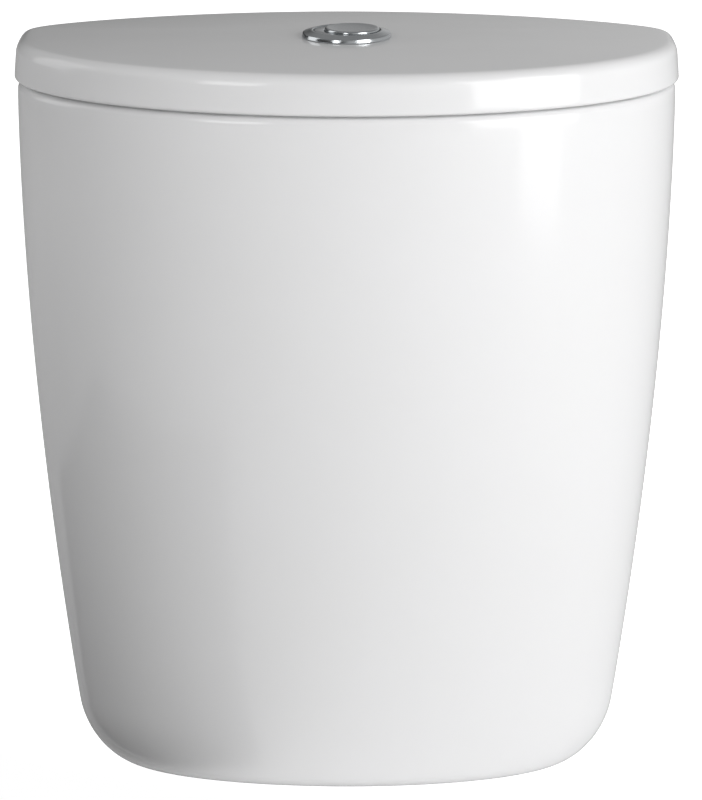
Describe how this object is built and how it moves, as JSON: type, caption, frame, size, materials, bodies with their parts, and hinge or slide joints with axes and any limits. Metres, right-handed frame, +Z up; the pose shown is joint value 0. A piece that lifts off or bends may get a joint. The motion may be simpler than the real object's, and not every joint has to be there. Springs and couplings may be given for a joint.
{
  "type": "toilet cistern",
  "caption": "White oval close-coupled toilet cistern with lift-off lid, chrome dual flush button, flush valve, float fill valve and coupling bolts.",
  "frame": {"origin": "flush outlet axis, in the plane of the base rim", "axes": "+Z up, front towards -Y, wall side towards +Y, +X to the right as seen from the front"},
  "size_m": [0.36, 0.204, 0.4089],
  "materials": {
    "china": "white vitreous china under a clear gloss glaze",
    "chrome_plate": "bright chrome plate on moulded plastic",
    "white_plastic": "satin moulded polypropylene",
    "blue_plastic": "satin moulded blue plastic",
    "grey_plastic": "satin moulded grey acetal",
    "rubber_black": "moulded black rubber",
    "seal_red": "smooth red silicone",
    "foam_black": "closed-cell black foam",
    "steel": "drawn stainless steel",
    "brass_plain": "turned brass"
  },
  "bodies": {
    "cistern": {"tank": "china", "valve_seat": "white_plastic", "seat_gasket": "rubber_black", "friction_washer": "white_plastic", "tail_nut": "white_plastic", "coupling_gasket": "foam_black", "valve_tower": "white_plastic", "lever_bridge": "grey_plastic", "lever_pins": "steel", "inlet_shank": "white_plastic", "inlet_filter": "grey_plastic", "inlet_gasket": "rubber_black", "inlet_nut": "white_plastic", "downflow_sleeve": "white_plastic", "float_stop": "grey_plastic", "valve_head": "white_plastic", "diaphragm": "rubber_black", "valve_cap": "grey_plastic", "fill_lever_pin": "steel", "coupling_bolts": "brass_plain", "cone_washers": "rubber_black", "plate_washers": "steel", "bolt_nuts": "brass_plain"},
    "lid": {"lid": "china", "bezel": "chrome_plate", "bezel_washer": "rubber_black", "button_guide": "white_plastic", "ring_nut": "white_plastic", "full_spring": "steel", "half_spring": "steel"},
    "full_button": {"full_flush_button": "chrome_plate", "full_push_rod": "white_plastic"},
    "half_button": {"half_flush_button": "chrome_plate", "half_push_rod": "white_plastic"},
    "full_rocker": {"full_lever": "blue_plastic"},
    "half_rocker": {"half_lever": "blue_plastic"},
    "full_slider": {"full_lifter": "grey_plastic"},
    "flush_plug": {"overflow_tube": "white_plastic", "flush_seal": "seal_red", "seal_retainer": "white_plastic", "plug_float": "blue_plastic", "half_lifter": "grey_plastic"},
    "float": {"fill_float": "blue_plastic", "float_link": "steel"},
    "fill_rocker": {"fill_lever": "blue_plastic", "bleed_seal": "rubber_black"}
  },
  "joints": [
    {"name": "lid_lift", "type": "slide", "parent": "cistern", "child": "lid", "axis": [0, 0, 1], "range_m": [0, 0.15]},
    {"name": "full_flush_press", "type": "slide", "parent": "lid", "child": "full_button", "axis": [0, 0, -1], "range_m": [0, 0.006], "stiffness_N_per_m": 250, "springref_m": -0.012, "deforming": ["full_spring"]},
    {"name": "half_flush_press", "type": "slide", "parent": "lid", "child": "half_button", "axis": [0, 0, -1], "range_m": [0, 0.006], "stiffness_N_per_m": 250, "springref_m": -0.012, "deforming": ["half_spring"]},
    {"name": "full_lever_tilt", "type": "hinge", "parent": "cistern", "child": "full_rocker", "pos_m": [0.0264, 0, 0.297], "axis": [0, -1, 0], "range_deg": [0, 30]},
    {"name": "half_lever_tilt", "type": "hinge", "parent": "cistern", "child": "half_rocker", "pos_m": [-0.0264, 0, 0.297], "axis": [0, 1, 0], "range_deg": [0, 30]},
    {"name": "full_lift", "type": "slide", "parent": "cistern", "child": "full_slider", "axis": [0, 0, 1], "range_m": [0, 0.01]},
    {"name": "half_lift", "type": "slide", "parent": "full_slider", "child": "flush_plug", "axis": [0, 0, 1], "range_m": [0, 0.01]},
    {"name": "float_rise", "type": "slide", "parent": "cistern", "child": "float", "axis": [0, 0, 1], "range_m": [0, 0.01]},
    {"name": "fill_lever_tilt", "type": "hinge", "parent": "cistern", "child": "fill_rocker", "pos_m": [-0.071, 0.028, 0.29], "axis": [0, 1, 0], "range_deg": [0, 23.6]}
  ],
  "couplings": [
    {"joint": "full_lever_tilt", "follows": "full_flush_press", "rad_per_m": 87.266},
    {"joint": "full_lift", "follows": "full_flush_press", "ratio": 1.6666},
    {"joint": "half_lever_tilt", "follows": "half_flush_press", "rad_per_m": 87.266},
    {"joint": "half_lift", "follows": "half_flush_press", "ratio": 1.6666},
    {"joint": "fill_lever_tilt", "follows": "float_rise", "rad_per_m": 41.152}
  ]
}
